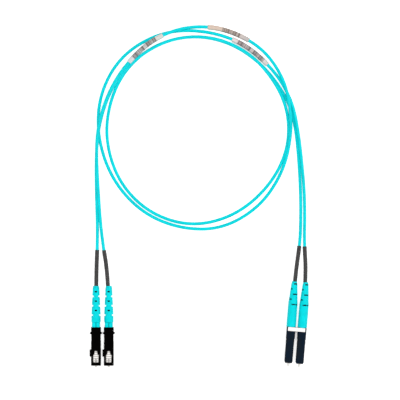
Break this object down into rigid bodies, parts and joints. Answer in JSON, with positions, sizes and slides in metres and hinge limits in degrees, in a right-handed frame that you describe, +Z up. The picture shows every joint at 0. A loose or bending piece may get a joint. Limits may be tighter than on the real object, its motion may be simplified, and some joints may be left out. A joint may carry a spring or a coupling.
{
  "type": "duplex fibre patch cord",
  "caption": "Coiled two-fibre patch cord: a duplex latched plug held by a clip at one end, two loose push-pull plugs at the other, with bend boots, sleeves and label tubes.",
  "frame": {"origin": "on the surface the cord lies on, under the middle of the duplex plug between its ferrule tips and the rear of its boots", "axes": "+Y from the duplex plug's ferrule tips towards its cords, +X from plug a to plug b, +Z up; the duplex plug lies with its latches down"},
  "size_m": [0.1271, 0.1968, 0.0078],
  "materials": {
    "lc_black": "smooth moulded, semi-gloss near-black",
    "mu_black": "smooth moulded, black",
    "white_plastic": "moulded white, satin",
    "zirconia": "polished white ceramic",
    "flange_metal": "nickel-plated, turned",
    "spring_steel": "drawn wire",
    "crimp_metal": "plain crimped sleeve",
    "boot_aqua": "moulded elastomer, satin aqua",
    "cord_aqua": "extruded jacket, satin aqua",
    "heat_shrink": "shrunk tube, dull dark grey",
    "label_film": "printed white sleeve"
  },
  "bodies": {
    "patch_cord": {"lc_housing_a": "lc_black", "lc_rear_body_a": "lc_black", "lc_spring_a": "spring_steel", "lc_crimp_a": "crimp_metal", "lc_boot_a": "boot_aqua", "lc_cord_sleeve_a": "heat_shrink", "mu_plug_frame_a": "white_plastic", "mu_rear_body_a": "mu_black", "mu_spring_a": "spring_steel", "mu_crimp_a": "crimp_metal", "mu_boot_a": "boot_aqua", "mu_cord_sleeve_a": "heat_shrink", "lc_housing_b": "lc_black", "lc_rear_body_b": "lc_black", "lc_spring_b": "spring_steel", "lc_crimp_b": "crimp_metal", "lc_boot_b": "boot_aqua", "lc_cord_sleeve_b": "heat_shrink", "mu_plug_frame_b": "white_plastic", "mu_rear_body_b": "mu_black", "mu_spring_b": "spring_steel", "mu_crimp_b": "crimp_metal", "mu_boot_b": "boot_aqua", "mu_cord_sleeve_b": "heat_shrink", "duplex_clip": "white_plastic", "cord_a": "cord_aqua", "cord_b": "cord_aqua", "label_1": "label_film", "label_2": "label_film", "label_3": "label_film"},
    "latch_arm_a": {"lc_latch_a": "lc_black"},
    "trigger_arm_a": {"lc_trigger_a": "lc_black"},
    "lc_ferrule_unit_a": {"lc_ferrule_a": "zirconia", "lc_flange_a": "flange_metal"},
    "mu_outer_a": {"mu_housing_a": "mu_black"},
    "mu_ferrule_unit_a": {"mu_ferrule_a": "zirconia", "mu_flange_a": "flange_metal"},
    "latch_arm_b": {"lc_latch_b": "lc_black"},
    "trigger_arm_b": {"lc_trigger_b": "lc_black"},
    "lc_ferrule_unit_b": {"lc_ferrule_b": "zirconia", "lc_flange_b": "flange_metal"},
    "mu_outer_b": {"mu_housing_b": "mu_black"},
    "mu_ferrule_unit_b": {"mu_ferrule_b": "zirconia", "mu_flange_b": "flange_metal"}
  },
  "joints": [
    {"name": "latch_a", "type": "hinge", "parent": "patch_cord", "child": "latch_arm_a", "pos_m": [-0.00313, -0.0201, 0.00252], "axis": [1, 0, 0], "range_deg": [0, 5], "stiffness_Nm_per_rad": 0.01},
    {"name": "trigger_a", "type": "hinge", "parent": "patch_cord", "child": "trigger_arm_a", "pos_m": [-0.00313, -0.0049, 0.00243], "axis": [-1, 0, 0], "range_deg": [0, 10], "stiffness_Nm_per_rad": 0.004},
    {"name": "lc_ferrule_float_a", "type": "slide", "parent": "patch_cord", "child": "lc_ferrule_unit_a", "axis": [0, 1, 0], "range_m": [0, 0.0008], "stiffness_N_per_m": 1500, "deforming": ["lc_spring_a"]},
    {"name": "mu_housing_slide_a", "type": "slide", "parent": "patch_cord", "child": "mu_outer_a", "axis": [-0.0785, 0.9969, 0], "range_m": [0, 0.0008]},
    {"name": "mu_ferrule_float_a", "type": "slide", "parent": "patch_cord", "child": "mu_ferrule_unit_a", "axis": [-0.0785, 0.9969, 0], "range_m": [0, 0.0008], "stiffness_N_per_m": 1500, "deforming": ["mu_spring_a"]},
    {"name": "latch_b", "type": "hinge", "parent": "patch_cord", "child": "latch_arm_b", "pos_m": [0.00313, -0.0201, 0.00252], "axis": [1, 0, 0], "range_deg": [0, 5], "stiffness_Nm_per_rad": 0.01},
    {"name": "trigger_b", "type": "hinge", "parent": "patch_cord", "child": "trigger_arm_b", "pos_m": [0.00313, -0.0049, 0.00243], "axis": [-1, 0, 0], "range_deg": [0, 10], "stiffness_Nm_per_rad": 0.004},
    {"name": "lc_ferrule_float_b", "type": "slide", "parent": "patch_cord", "child": "lc_ferrule_unit_b", "axis": [0, 1, 0], "range_m": [0, 0.0008], "stiffness_N_per_m": 1500, "deforming": ["lc_spring_b"]},
    {"name": "mu_housing_slide_b", "type": "slide", "parent": "patch_cord", "child": "mu_outer_b", "axis": [-0.0785, 0.9969, 0], "range_m": [0, 0.0008]},
    {"name": "mu_ferrule_float_b", "type": "slide", "parent": "patch_cord", "child": "mu_ferrule_unit_b", "axis": [-0.0785, 0.9969, 0], "range_m": [0, 0.0008], "stiffness_N_per_m": 1500, "deforming": ["mu_spring_b"]}
  ],
  "couplings": [
    {"joint": "trigger_a", "follows": "latch_a", "ratio": 1.81},
    {"joint": "trigger_b", "follows": "latch_b", "ratio": 1.81}
  ]
}
